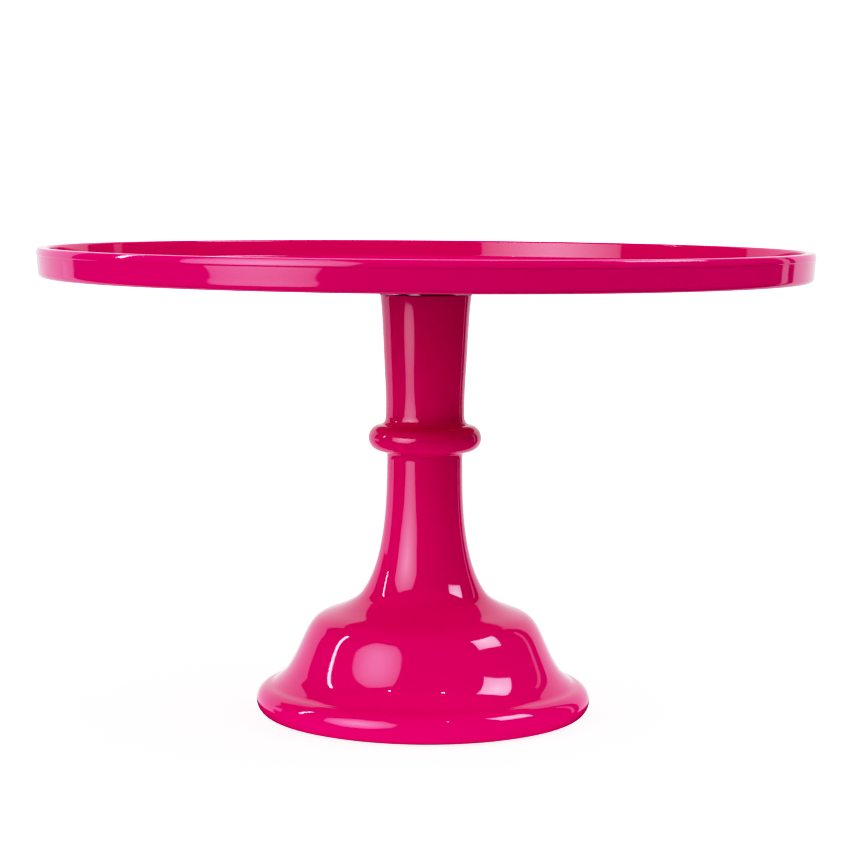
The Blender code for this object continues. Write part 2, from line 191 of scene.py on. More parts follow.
def turned(name, outline, steps, closed=True, sharp=SHARP, wave=None):
    """Turn an outline of (radius, height) points round the Z axis into a closed mesh.

    wave(radius, height, angle) gives the radius of a point, for knurls and threads.
    """
    shape = bmesh.new()
    columns = []
    for step in range(steps):
        angle = FULL_TURN * step / steps
        column = []
        for radius, height in outline:
            if radius < TINY:
                column.append(None)
                continue
            if wave:
                radius = wave(radius, height, angle)
            place = (radius * math.cos(angle), radius * math.sin(angle), height)
            column.append(shape.verts.new(place))
        columns.append(column)
    on_axis = [index for index, vertex in enumerate(columns[0]) if vertex is None]
    poles = {index: shape.verts.new((0.0, 0.0, outline[index][1])) for index in on_axis}
    pairs = [(i, i + 1) for i in range(len(outline) - 1)]
    if closed:
        pairs.append((len(outline) - 1, 0))
    for step in range(steps):
        here, there = columns[step], columns[(step + 1) % steps]
        for upper, lower in pairs:
            corners = [here[upper], here[lower], there[lower], there[upper]]
            if upper in poles:
                corners = [poles[upper], here[lower], there[lower]]
            elif lower in poles:
                corners = [here[upper], poles[lower], there[upper]]
            shape.faces.new(corners)
    return object_from(name, shape, sharp)


def cut(piece, cutter, operation="DIFFERENCE"):
    """Cut one piece with another and throw the cutter away."""
    boolean = piece.modifiers.new("Cut", "BOOLEAN")
    boolean.operation = operation
    boolean.solver = "EXACT"
    boolean.object = cutter
    bpy.context.view_layer.update()
    evaluated = piece.evaluated_get(bpy.context.evaluated_depsgraph_get())
    result = bpy.data.meshes.new_from_object(evaluated)
    piece.modifiers.clear()
    piece.data = result
    bpy.data.objects.remove(cutter, do_unlink=True)


def middle(node):
    """The point on a node's own axis at its lowest height."""
    low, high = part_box(node)
    return Vector(((low[0] + high[0]) / 2, (low[1] + high[1]) / 2, low[2]))


# ---------------------------------------------------------------- materials

NOISE_LOW = 0.3
NOISE_HIGH = 0.7             # the range that a noise pattern mostly keeps to
PINK_DARK = (0.61, 0.0, 0.175)
PINK_LIGHT = (0.63, 0.0, 0.188)
MELAMINE_IOR = 1.65
RUBBER_DARK = (0.035, 0.03, 0.033)
RUBBER_LIGHT = (0.06, 0.05, 0.055)


class Nodes:
    """A small helper that adds nodes to a material and links them."""

    def __init__(self, name):
        self.material = bpy.data.materials.new(name)
        self.material.use_nodes = True
        self.tree = self.material.node_tree
        self.shader = self.tree.nodes["Principled BSDF"]
        place = self.tree.nodes.new("ShaderNodeTexCoord")
        self.place = place.outputs["Object"]

    def add(self, kind, links=None, **values):
        """Add a node, set its values by socket name and link the sockets in links."""
        node = self.tree.nodes.new(kind)
        for key, value in values.items():
            node.inputs[key].default_value = value
        for key, source in (links or {}).items():
            self.tree.links.new(source, node.inputs[key])
        return node

    def noise(self, scale, detail=2.0, stretch=None):
        """A noise pattern, stretched along the axes when asked."""
        source = self.place
        if stretch:
            mapping = self.tree.nodes.new("ShaderNodeMapping")
            mapping.inputs["Scale"].default_value = stretch
            self.tree.links.new(self.place, mapping.inputs["Vector"])
            source = mapping.outputs["Vector"]
        node = self.add("ShaderNodeTexNoise", {"Vector": source}, Scale=scale, Detail=detail)
        return node.outputs["Fac"]

    def span(self, source, low, high):
        """Map the usual range of a noise pattern to low and high."""
        node = self.tree.nodes.new("ShaderNodeMapRange")
        node.inputs["From Min"].default_value = NOISE_LOW
        node.inputs["From Max"].default_value = NOISE_HIGH
        node.inputs["To Min"].default_value = low
        node.inputs["To Max"].default_value = high
        self.tree.links.new(source, node.inputs["Value"])
        return node.outputs["Result"]

    def blend(self, source, first, second):
        """Blend two colours by a pattern."""
        ramp = self.tree.nodes.new("ShaderNodeValToRGB")
        ramp.color_ramp.elements[0].position = NOISE_LOW
        ramp.color_ramp.elements[1].position = NOISE_HIGH
        ramp.color_ramp.elements[0].color = (*first, 1.0)
        ramp.color_ramp.elements[1].color = (*second, 1.0)
        self.tree.links.new(source, ramp.inputs["Fac"])
        return ramp.outputs["Color"]

    def colour(self, source):
        """Use a pattern as the base colour."""
        self.tree.links.new(source, self.shader.inputs["Base Color"])

    def roughness(self, source):
        """Use a pattern as the roughness."""
        self.tree.links.new(source, self.shader.inputs["Roughness"])

    def bump(self, source, height, strength=1.0, normal=None):
        """Add a bump of that height in metres, on top of another one when given."""
        node = self.add("ShaderNodeBump", {"Height": source}, Strength=strength, Distance=height)
        if normal is not None:
            self.tree.links.new(normal, node.inputs["Normal"])
        self.tree.links.new(node.outputs["Normal"], self.shader.inputs["Normal"])
        return node.outputs["Normal"]


def melamine(name):
    """Glossy pink melamine: slight clouding in the colour, faint moulding ripple and fine scuffs."""
    nodes = Nodes(name)
    nodes.colour(nodes.blend(nodes.noise(14.0, 3.0), PINK_DARK, PINK_LIGHT))
    scuffs = nodes.noise(55.0, 4.0, (1.0, 1.0, 2.5))
    nodes.roughness(nodes.span(scuffs, 0.035, 0.075))
    ripple = nodes.bump(nodes.noise(38.0, 1.0), 0.00002, 0.35)
    nodes.bump(nodes.noise(900.0, 2.0), 0.000004, 0.2, ripple)
    nodes.shader.inputs["IOR"].default_value = MELAMINE_IOR
    return nodes.material


def turned_metal(name, dark, light, rough, line_scale=1800.0, height=0.00001):
    """Machined metal: rings of fine turning marks that vary the colour, gloss and surface."""
    nodes = Nodes(name)
    marks = nodes.noise(line_scale, 2.0, (0.02, 0.02, 1.0))
    cloud = nodes.noise(60.0, 3.0)
    nodes.colour(nodes.blend(cloud, dark, light))
    nodes.roughness(nodes.span(marks, rough * 0.75, rough * 1.3))
    nodes.bump(marks, height, 0.5)
    nodes.shader.inputs["Metallic"].default_value = 1.0
    return nodes.material


def plated_metal(name, dark, light, rough):
    """Zinc-plated or polished steel with a mottled sheen."""
    nodes = Nodes(name)
    nodes.colour(nodes.blend(nodes.noise(220.0, 4.0), dark, light))
    nodes.roughness(nodes.span(nodes.noise(500.0, 3.0), rough * 0.7, rough * 1.4))
    nodes.bump(nodes.noise(1500.0, 2.0), 0.000005, 0.4)
    nodes.shader.inputs["Metallic"].default_value = 1.0
    return nodes.material


def soft_plastic(name, dark, light, rough):
    """Acetal or nylon: waxy and slightly cloudy."""
    nodes = Nodes(name)
    nodes.colour(nodes.blend(nodes.noise(120.0, 3.0), dark, light))
    nodes.roughness(nodes.span(nodes.noise(300.0, 3.0), rough * 0.8, rough * 1.25))
    nodes.bump(nodes.noise(900.0, 2.0), 0.00001, 0.4)
    nodes.shader.inputs["Subsurface Weight"].default_value = 0.15
    nodes.shader.inputs["Subsurface Radius"].default_value = (0.002, 0.002, 0.0015)
    return nodes.material


def ring_rubber(name):
    """Dark grey rubber with a fine matte grain."""
    nodes = Nodes(name)
    nodes.colour(nodes.blend(nodes.noise(400.0, 4.0), RUBBER_DARK, RUBBER_LIGHT))
    nodes.roughness(nodes.span(nodes.noise(250.0, 3.0), 0.6, 0.85))
    nodes.bump(nodes.noise(2500.0, 3.0), 0.00004, 0.6)
    return nodes.material


# ---------------------------------------------------------------- plate

def supported(outline, reach):
    """Add a point near both ends of every long stretch, so that the shading stays true along it."""
    points = []
    for start, end in zip(outline, outline[1:]):
        points.append(start)
        along = Vector(end) - Vector(start)
        if along.length > 4.0 * reach:
            step = along.normalized() * reach
            points += [tuple(Vector(start) + step), tuple(Vector(end) - step)]
    points.append(outline[-1])
    return points


def rim_face(start, tilts, stops):
    """Points down the face of the rim: it leans in by each tilt, in degrees, over the next stretch."""
    points = [start]
    for tilt, stop in zip(tilts, stops):
        radius, height = points[-1]
        points.append((radius - (height - stop) * math.tan(math.radians(tilt)), stop))
    return points


RIM_HEIGHT = 11.5 * MM
WELL_DEPTH = 8.0 * MM
WELL_DRAFT = 0.35 * MM
WELL_FILLET = 1.8 * MM
LIP_THICKNESS = 4.2 * MM
LIP_INNER_ROUND = 0.9 * MM
LIP_EDGE = 0.7 * MM
LIP_CROWN = 5.0 * MM         # radius of the lip's outer face, which bulges slightly
CROWN_END = 24.0             # degrees
CREASE = 0.4 * MM
CREASE_TILT = 30.0           # degrees
STEP_DEPTH = 0.2 * MM        # from the lip in to the face under it
STEP_FLAT = 0.16 * MM
FACE_DROPS = (4.3, 5.7, 7.0, 8.2, 9.3)       # millimetres below the top
FACE_TILTS = (3.6, 4.2, 4.5, 4.1, 3.0)       # degrees that the face leans in down to each drop
RIM_CORNER = 2.2 * MM
BOSS_RADIUS = 30.0 * MM
BOSS_FILLET = 2.0 * MM
BOSS_EDGE = 1.2 * MM
SUPPORT_REACH = 0.4 * MM


def build_plate(material):
    """The plate: crowned lip, soft step under it, leaning rim face, well, and boss underneath."""
    low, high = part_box("cake_plate")
    hub_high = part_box("plate_hub")[1]
    insert_low, insert_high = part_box("insert_1")
    radius, top = high[0], high[2]
    boss_bottom = low[2]
    rim_bottom = top - RIM_HEIGHT
    floor = top - WELL_DEPTH
    well = radius - LIP_THICKNESS
    face = radius - STEP_DEPTH
    rise, run = math.sin(math.radians(CROWN_END)), math.cos(math.radians(CROWN_END))
    edge_centre = (radius - LIP_CROWN + (LIP_CROWN - LIP_EDGE) * run, top - LIP_EDGE)
    crown_centre = (radius - LIP_CROWN, top - LIP_EDGE + (LIP_EDGE - LIP_CROWN) * rise)
    slant = CREASE * math.sin(math.radians(CREASE_TILT))
    wall_top = crown_centre[1] - 2.0 * slant - STEP_FLAT
    fillet_centre = (well - WELL_DRAFT - WELL_FILLET, floor + WELL_FILLET)
    inner_centre = (well + LIP_INNER_ROUND, top - LIP_INNER_ROUND)
    outline = [(0.0, floor), (40.0 * MM, floor), (100.0 * MM, floor)]
    outline += arc(fillet_centre, WELL_FILLET, 270, 356, 12)
    outline += arc(inner_centre, LIP_INNER_ROUND, 180, 90, 10)
    outline += arc(edge_centre, LIP_EDGE, 90, CROWN_END, 8)
    outline += arc(crown_centre, LIP_CROWN, CROWN_END, 0, 12)[1:]
    outline += arc((radius - CREASE, crown_centre[1]), CREASE, 0, -CREASE_TILT, 5)[1:]
    outline += arc((face + CREASE, wall_top), CREASE, 180 - CREASE_TILT, 180, 5)
    wall = rim_face((face, wall_top), FACE_TILTS, [top - drop * MM for drop in FACE_DROPS])
    outline += wall[1:]
    outline += arc((wall[-1][0] - RIM_CORNER, rim_bottom + RIM_CORNER), RIM_CORNER, -3, -90, 12)[1:]
    outline += [(110.0 * MM, rim_bottom), (60.0 * MM, rim_bottom)]
    outline += arc((BOSS_RADIUS + BOSS_FILLET, rim_bottom - BOSS_FILLET), BOSS_FILLET, 90, 180, 8)
    outline += arc((BOSS_RADIUS - BOSS_EDGE, boss_bottom + BOSS_EDGE), BOSS_EDGE, 0, -90, 6)
    outline = supported(outline, SUPPORT_REACH)
    recess = hub_high[0] + CLEARANCE
    recess_top = hub_high[2] + CLEARANCE
    outline += [(recess, boss_bottom), (recess, recess_top), (0.0, recess_top)]
    plate = turned("plate_shell", outline, PLATE_STEPS, closed=False)
    pocket_radius = (insert_high[0] - insert_low[0]) / 2 + CLEARANCE
    for index in range(1, 5):
        place = middle("insert_" + str(index))
        depth = insert_high[2] + CLEARANCE - recess_top
        bore = [(0.0, depth), (pocket_radius, depth), (pocket_radius, -MM), (0.0, -MM)]
        pocket = turned("pocket", bore, POCKET_STEPS, closed=False)
        pocket.location = (place.x, place.y, recess_top)
        cut(plate, pocket)
    finish_piece(plate, "turntable", material, ("cake_plate",))


# ---------------------------------------------------------------- pedestal

STEM_ABOVE_BEAD = [(17.9, 164.6), (17.15, 157.5), (16.2, 140.0), (15.4, 124.0), (15.4, 117.2)]
STEM_AND_DOME = [
    (14.75, 101.3), (14.8, 92.0), (15.5, 78.0), (17.2, 66.0), (20.0, 56.0), (24.3, 48.0), (27.8, 45.0),
    (34.0, 42.0), (42.0, 38.2), (47.1, 30.0), (50.6, 22.5), (54.1, 17.0), (58.2, 13.2),
]
STEM_TO_BEAD = [(15.55, 115.7), (15.95, 114.9), (16.45, 114.3)]
BEAD_TO_STEM = [(15.4, 103.0), (14.95, 102.3)]
DOME_TO_ROLL = [(58.55, 12.9)]
WEB_AND_BORE = [
    (14.2, 61.2), (13.4, 62.0), (8.3, 62.0), (8.3, 66.0), (11.1, 66.0), (11.9, 153.0),
]                            # (radius, height) points, all in millimetres
BEAD_CENTRE = (16.8 * MM, 108.7 * MM)
BEAD_ROUND = 5.25 * MM
ROLL_CENTRE = 59.15 * MM
ROLL_ROUND = 5.95 * MM
GROOVE_INNER = 54.0 * MM
FOOT_INNER_CENTRE = 53.3 * MM
FOOT_INNER_ROUND = 1.0 * MM
FOOT_WALL = 3.6 * MM
CAVITY_EDGE = (51.3 * MM, 12.0 * MM)
CAVITY_HEIGHTS = (17.0 * MM, 60.0 * MM)      # where the inside follows the outside
SOCKET_FLOOR = 153.0 * MM
MOUTH_CHAMFER = 0.4 * MM
MOUTH_RADIUS = 17.5 * MM


def build_pedestal(material):
    """The pedestal: flared stem, round bead, domed foot with a rolled edge, hollow inside."""
    low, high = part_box("pedestal")
    ring_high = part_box("foot_ring")[1]
    tube_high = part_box("bearing_tube")[1]
    foot_bottom, mouth = low[2], high[2]
    lower = in_metres(flowing_curve(STEM_AND_DOME, 10))
    outline = in_metres(flowing_curve(STEM_ABOVE_BEAD, 8))
    outline[0] = (outline[0][0], mouth - MOUTH_CHAMFER)
    outline += in_metres(STEM_TO_BEAD)
    outline += arc(BEAD_CENTRE, BEAD_ROUND, 84, -97, 32)
    outline += in_metres(BEAD_TO_STEM)
    outline += lower
    outline += in_metres(DOME_TO_ROLL)
    outline += arc((ROLL_CENTRE, foot_bottom + ROLL_ROUND), ROLL_ROUND, 82, -90, 32)
    groove_top = ring_high[2] + CLEARANCE
    groove_outer = ring_high[0] + CLEARANCE
    outline += [(groove_outer, foot_bottom), (groove_outer, groove_top)]
    outline += [(GROOVE_INNER, groove_top), (GROOVE_INNER, foot_bottom)]
    inner_centre = (FOOT_INNER_CENTRE, foot_bottom + FOOT_INNER_ROUND)
    outline += arc(inner_centre, FOOT_INNER_ROUND, 270, 180, 5)
    outline += [CAVITY_EDGE]
    lowest, highest = CAVITY_HEIGHTS
    under_skin = [point for point in inset(lower, FOOT_WALL) if lowest < point[1] < highest]
    outline += reversed(under_skin[::2])
    outline += in_metres(WEB_AND_BORE)
    socket = tube_high[0] + CLEARANCE
    outline += [(socket, SOCKET_FLOOR), (socket, mouth - MOUTH_CHAMFER), (socket + MOUTH_CHAMFER, mouth)]
    outline += [(MOUTH_RADIUS, mouth)]
    pedestal = turned("pedestal_shell", outline, PEDESTAL_STEPS)
    finish_piece(pedestal, "base", material, ("pedestal",))


RING_INNER = 54.3 * MM
RING_EDGE = 0.5 * MM
RING_GROOVES = ((0.62, 0.7), (0.3, 0.38))    # shares of the ring's width, outer groove first
RING_GROOVE_DEPTH = 0.35 * MM
RING_GROOVE_SLOPE = 0.15 * MM


def build_foot_ring(material):
    """The rubber ring: rounded edges and two fine grooves in the face that grips the table."""
    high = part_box("foot_ring")[1]
    inner, outer, top = RING_INNER, high[0], high[2]
    outline = softened([(inner, top), (outer, top), (outer, 0.0), (inner, 0.0)], RING_EDGE)
    grooves = []
    for shares in RING_GROOVES:
        left, right = (inner + share * (outer - inner) for share in shares)
        grooves += [(right, 0.0), (right - RING_GROOVE_SLOPE, RING_GROOVE_DEPTH)]
        grooves += [(left + RING_GROOVE_SLOPE, RING_GROOVE_DEPTH), (left, 0.0)]
    split = len(outline) - 4
    outline = outline[:split] + grooves + outline[split:]
    ring = turned("foot_ring_grip", outline, PEDESTAL_STEPS)
    finish_piece(ring, "base", material, ("foot_ring",))


# ---------------------------------------------------------------- hub and its screws

HUB_BORE = 5.3 * MM
COUNTERBORE = 7.3 * MM
COUNTERBORE_DEPTH = 1.8 * MM
HUB_EDGE = 0.25 * MM
SCREW_HOLE = [(0.0, 4.0), (2.3, 4.0), (2.3, 2.5), (4.1, 0.45), (4.1, -1.0), (0.0, -1.0)]
SCREW_RADIUS = 2.0 * MM
SCREW_PITCH = 0.7 * MM
SCREW_THREAD_DEPTH = 0.35 * MM
SCREW_HEAD = [(2.0, 2.05), (3.75, 0.32), (3.8, 0.2), (3.7, 0.05), (3.6, 0.0), (0.0, 0.0)]
SCREW_NECK = 2.2 * MM        # height of the first thread above the head's face
SCREW_POINT = 0.45 * MM
SCREW_SOCKET = 2.5 * MM      # across the flats
SCREW_SOCKET_DEPTH = 1.3 * MM


def build_hub(material):
    """The hub: turned disc, counterbored for the spindle's head, with countersunk screw holes."""
    low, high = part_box("plate_hub")
    ledge = high[2] - COUNTERBORE_DEPTH
    outline = [(COUNTERBORE, high[2]), (high[0], high[2]), (high[0], low[2]), (HUB_BORE, low[2])]
    outline = softened(outline + [(HUB_BORE, ledge), (COUNTERBORE, ledge)], HUB_EDGE)
    hub = turned("hub_disc", outline, SMALL_STEPS)
    for index in range(1, 5):
        place = middle("hub_screw_" + str(index))
        cutter = turned("sink", in_metres(SCREW_HOLE), SCREW_STEPS, closed=False)
        cutter.location = (place.x, place.y, low[2])
        cut(hub, cutter)
    smooth(hub.data)
    finish_piece(hub, "turntable", material, ("plate_hub",))


def thread(crest, depth, pitch, low, high):
    """A wave for turned() that gives a shaft a thread between two heights."""

    def wave(radius, height, angle):
        if not low < height < high or radius < crest - TINY:
            return radius
        turn = height / pitch - angle / FULL_TURN
        return crest - depth * abs(2.0 * (turn - math.floor(turn)) - 1.0)

    return wave


POINTS_PER_PITCH = 6


def shaft_points(radius, top, bottom, pitch):
    """Closely spaced points down a threaded stretch."""
    count = max(2, int((top - bottom) / pitch * POINTS_PER_PITCH))
    return [(radius, top + (bottom - top) * step / count) for step in range(count + 1)]


def build_hub_screws(material, brass):
    """Countersunk screws with a hexagon socket, and knurled brass inserts."""
    for index in range(1, 5):
        node = "hub_screw_" + str(index)
        low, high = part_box(node)
        place = middle(node)
        length = (high[2] - low[2]) / MM
        thread_top = length * MM - SCREW_POINT
        shank = in_metres([(0.0, length), (1.6, length), (2.0, length - 0.4)])
        shank += shaft_points(SCREW_RADIUS, thread_top, SCREW_NECK, SCREW_PITCH)
        shank += in_metres(SCREW_HEAD)
        wave = thread(SCREW_RADIUS, SCREW_THREAD_DEPTH, SCREW_PITCH, SCREW_NECK + 0.1 * MM, thread_top)
        name = "countersunk_screw_" + str(index)
        screw = turned(name, shank, SCREW_STEPS, closed=False, wave=wave)
        cut(screw, hexagon("socket", SCREW_SOCKET, -MM, SCREW_SOCKET_DEPTH))
        screw.location = place
        finish_piece(screw, "turntable", material, (node,))
        build_insert(index, brass)


INSERT_BORE = 2.3 * MM
KNURLS = 24
KNURL_DEPTH = 0.12 * MM
KNURL_SHARP = 50.0           # degrees


def build_insert(index, material):
    """One brass insert: knurled outside, with a groove round its middle."""
    node = "insert_" + str(index)
    low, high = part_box(node)
    place = middle(node)
    radius = (high[0] - low[0]) / 2
    height = high[2] - low[2]
    outer = [(radius, share * height) for share in (0.92, 0.8, 0.6)]
    outer += [(radius * 0.9, share * height) for share in (0.55, 0.45)]
    outer += [(radius, share * height) for share in (0.4, 0.2, 0.08)]
    end = radius * 0.93
    outline = [(INSERT_BORE, height), (end, height), *outer, (end, 0.0), (INSERT_BORE, 0.0)]

    def knurl(point_radius, point_height, angle):
        if point_radius < radius * 0.99:
            return point_radius
        return radius - KNURL_DEPTH * (0.5 + 0.5 * math.cos(KNURLS * angle))

    insert = turned("brass_insert_" + str(index), outline, SMALL_STEPS, wave=knurl, sharp=KNURL_SHARP)
    insert.location = place
    finish_piece(insert, "turntable", material, (node,))


CHAMFER_SLOPE = 0.6          # drop of a hexagon's chamfer for each unit outwards


def hexagon(name, flats, bottom, top, chamfer=0.0):
    """A hexagonal prism between two heights, its ends turned to a cone when chamfered."""
    corner = flats / math.sqrt(3.0)
    shape = bmesh.new()
    bmesh.ops.create_cone(
        shape, cap_ends=True, segments=6, radius1=corner, radius2=corner, depth=top - bottom
    )
    bmesh.ops.translate(shape, verts=shape.verts, vec=(0.0, 0.0, (top + bottom) / 2))
    piece = object_from(name, shape)
    if chamfer:
        rise = chamfer * CHAMFER_SLOPE
        past = corner + MM
        flat_end = flats / 2 - 0.1 * MM
        outline = [(0.0, top), (flat_end, top), (past, top - rise - MM * CHAMFER_SLOPE)]
        outline += [(past, bottom + rise + MM * CHAMFER_SLOPE), (flat_end, bottom), (0.0, bottom)]
        cone = turned("cone", outline, NUT_STEPS, closed=False)
        cut(piece, cone, "INTERSECT")
    return piece


# ---------------------------------------------------------------- spindle, tube, bushes, bearing

SPINDLE_RADIUS = 5.0 * MM
SPINDLE_HEAD_THICKNESS = 1.5 * MM
SPINDLE_SHOULDER = 51.4 * MM
SPINDLE_THREAD = 4.0 * MM
SPINDLE_THREAD_DEPTH = 0.55 * MM
SPINDLE_PITCH = 1.25 * MM


def build_spindle(material):
    """The spindle: flat head, ground shaft, and a threaded end below the shoulder."""
    low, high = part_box("spindle")
    head, shaft, shoulder = high[0], SPINDLE_RADIUS, SPINDLE_SHOULDER
    head_bottom = high[2] - SPINDLE_HEAD_THICKNESS
    outline = [(0.0, high[2]), (head - 0.4 * MM, high[2]), (head, high[2] - 0.4 * MM)]
    outline += [(head, head_bottom + 0.2 * MM), (head - 0.2 * MM, head_bottom), (shaft, head_bottom)]
    outline += [(shaft, 100.0 * MM), (shaft, shoulder + 0.4 * MM), (shaft - 0.4 * MM, shoulder)]
    outline += shaft_points(SPINDLE_THREAD, shoulder, low[2] + 0.8 * MM, SPINDLE_PITCH)
    outline += [(3.2 * MM, low[2]), (0.0, low[2])]
    start, end = low[2] + 0.9 * MM, shoulder - 1.0 * MM
    wave = thread(SPINDLE_THREAD, SPINDLE_THREAD_DEPTH, SPINDLE_PITCH, start, end)
    spindle = turned("ground_spindle", outline, SHAFT_STEPS, closed=False, wave=wave)
    finish_piece(spindle, "turntable", material, ("spindle",))


TUBE_RADIUS = 8.0 * MM
TUBE_BORE = 6.8 * MM
CUP_BORE = 12.3 * MM
CUP_SEAT = 153.3 * MM
CUP_FLOOR = 156.2 * MM
TUBE_THREAD_TOP = 75.0 * MM
TUBE_THREAD_DEPTH = 0.6 * MM
TUBE_PITCH = 1.5 * MM


def build_tube(material):
    """The bearing tube: cup for the bearing at its head and a threaded lower end."""
    low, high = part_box("bearing_tube")
    cup, bore, tube, seat = high[0], CUP_BORE, TUBE_RADIUS, CUP_SEAT
    outline = [(bore + 0.2 * MM, high[2]), (cup - 0.3 * MM, high[2]), (cup, high[2] - 0.3 * MM)]
    outline += [(cup, seat + 0.3 * MM), (cup - 0.3 * MM, seat)]
    outline += [(tube + 0.5 * MM, seat), (tube, seat - 0.5 * MM), (tube, 110.0 * MM)]
    outline += shaft_points(tube, TUBE_THREAD_TOP, low[2] + 0.8 * MM, TUBE_PITCH)
    outline += [(tube - 0.8 * MM, low[2]), (TUBE_BORE, low[2]), (TUBE_BORE, CUP_FLOOR)]
    outline += [(bore, CUP_FLOOR), (bore, high[2] - 0.2 * MM)]
    start, end = low[2] + 0.9 * MM, TUBE_THREAD_TOP - 3.0 * MM
    wave = thread(tube, TUBE_THREAD_DEPTH, TUBE_PITCH, start, end)
    piece = turned("threaded_tube", outline, NUT_STEPS, wave=wave)
    finish_piece(piece, "base", material, ("bearing_tube",))


BUSH_BORE = 5.3 * MM
BUSH_SLEEVE = 6.5 * MM
BUSH_FLANGE = 1.5 * MM
OIL_GROOVE = 0.4 * MM        # its depth and half the width of its floor


def build_bushes(material):
    """The two acetal bushes, with softened edges and an oil groove inside the upper one."""
    low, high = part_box("upper_bush")
    inner, outer = BUSH_BORE, high[0]
    centre = (low[2] + high[2]) / 2
    corners = [(inner, high[2]), (outer, high[2]), (outer, low[2]), (inner, low[2])]
    outline = softened(corners, 0.35 * MM)
    outline += [(inner, centre - 2 * OIL_GROOVE), (inner + OIL_GROOVE, centre - OIL_GROOVE)]
    outline += [(inner + OIL_GROOVE, centre + OIL_GROOVE), (inner, centre + 2 * OIL_GROOVE)]
    upper = turned("guide_bush_upper", outline, SMALL_STEPS // 2)
    finish_piece(upper, "base", material, ("upper_bush",))
    low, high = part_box("lower_bush")
    flange_top = low[2] + BUSH_FLANGE
    outline = [(inner, high[2]), (BUSH_SLEEVE, high[2]), (BUSH_SLEEVE, flange_top)]
    outline += [(high[0], flange_top), (high[0], low[2]), (inner, low[2])]
    lower = turned("guide_bush_lower", softened(outline, 0.3 * MM), SMALL_STEPS // 2)
    finish_piece(lower, "base", material, ("lower_bush",))


BALLS = 8
GROOVE_PLAY = 0.3 * MM       # between a ball and the groove or pocket it runs in
RACE_OFFSET = 1.8 * MM       # from the balls' centres to a race's face
RACE_EDGE = 0.3 * MM
RACE_BORES = (("lower_race", 5.5 * MM, -1), ("upper_race", 5.3 * MM, 1))
CAGE_BORE = 5.9 * MM


def build_bearing(steel, brass):
    """The thrust bearing: grooved races, a pierced cage and smooth balls."""
    ball_low, ball_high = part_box("ball_1")
    ball_height = (ball_low[2] + ball_high[2]) / 2
    ball_circle = middle("ball_1").x
    ball_radius = (ball_high[2] - ball_low[2]) / 2
    groove_radius = ball_radius + GROOVE_PLAY
    half = math.degrees(math.acos(RACE_OFFSET / groove_radius))
    edge = RACE_EDGE
    for node, inner, side in RACE_BORES:
        low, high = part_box(node)
        outer = high[0]
        start, end = 90 * side - half, 90 * side + half
        groove = arc((ball_circle, ball_height), groove_radius, start, end, 12)
        face = ball_height + side * RACE_OFFSET
        back = low[2] if side < 0 else high[2]
        rim = [(outer - edge, face), (outer, face + side * edge), (outer, back - side * edge)]
        rim += [(outer - edge, back), (inner + edge, back), (inner, back - side * edge)]
        rim += [(inner, face + side * edge), (inner + edge, face)]
        outline = groove + rim if side < 0 else rim[::-1] + groove
        race = turned(node.replace("race", "bearing_race"), outline, SMALL_STEPS)
        body = "base" if side < 0 else "turntable"
        finish_piece(race, body, steel, (node,))
    build_cage(brass, ball_circle, ball_height, groove_radius)
    for index in range(1, BALLS + 1):
        node = "ball_" + str(index)
        low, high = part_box(node)
        shape = bmesh.new()
        bmesh.ops.create_icosphere(shape, subdivisions=4, radius=ball_radius)
        ball = object_from("bearing_ball_" + str(index), shape, 180)
        ball.location = ((low[0] + high[0]) / 2, (low[1] + high[1]) / 2, ball_height)
        finish_piece(ball, "bearing_cage", steel, (node,))


def build_cage(material, circle, height, pocket_radius):
    """The cage: a flat brass ring with a round pocket for each ball."""
    low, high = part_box("ball_cage")
    inner, outer = CAGE_BORE, high[0]
    corners = [(inner, high[2]), (outer, high[2]), (outer, low[2]), (inner, low[2])]
    cage = turned("pierced_cage", softened(corners, 0.25 * MM), SMALL_STEPS)
    for index in range(BALLS):
        angle = FULL_TURN * index / BALLS
        rod = [(0.0, MM), (pocket_radius, MM), (pocket_radius, -MM), (0.0, -MM)]
        cutter = turned("rod", rod, SCREW_STEPS, closed=False)
        cutter.location = (circle * math.cos(angle), circle * math.sin(angle), height)
        cut(cage, cutter)
    smooth(cage.data)
    finish_piece(cage, "bearing_cage", material, ("ball_cage",))


# ---------------------------------------------------------------- nuts and washers

WASHERS = (
    ("tube_washer", "tube_washer_plate", 8.3 * MM, "base"),
    ("spindle_washer", "spindle_washer_plate", 4.3 * MM, "turntable"),
)                            # node, name, radius of the hole, body
TUBE_NUT_BORE = 8.3 * MM
TUBE_NUT_CHAMFER = 0.8 * MM
LOCK_NUT_BORE = 4.3 * MM
LOCK_NUT_CHAMFER = 0.5 * MM
COLLAR_HEIGHT = 2.6 * MM
BORE_CHAMFER = 0.3 * MM


def build_washers(material):
    """Two stamped washers, each with one rounded and one sharp side."""
    for node, name, inner, body in WASHERS:
        low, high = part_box(node)
        outer, top, bottom = high[0], high[2], low[2]
        outline = [(inner + 0.1 * MM, top), (outer - 0.3 * MM, top), (outer - 0.1 * MM, top - 0.1 * MM)]
        outline += [(outer, top - 0.35 * MM), (outer, bottom + 0.05 * MM), (outer - 0.05 * MM, bottom)]
        outline += [(inner + 0.05 * MM, bottom), (inner, bottom + 0.05 * MM), (inner, top - 0.1 * MM)]
        washer = turned(name, outline, SMALL_STEPS)
        finish_piece(washer, body, material, (node,))


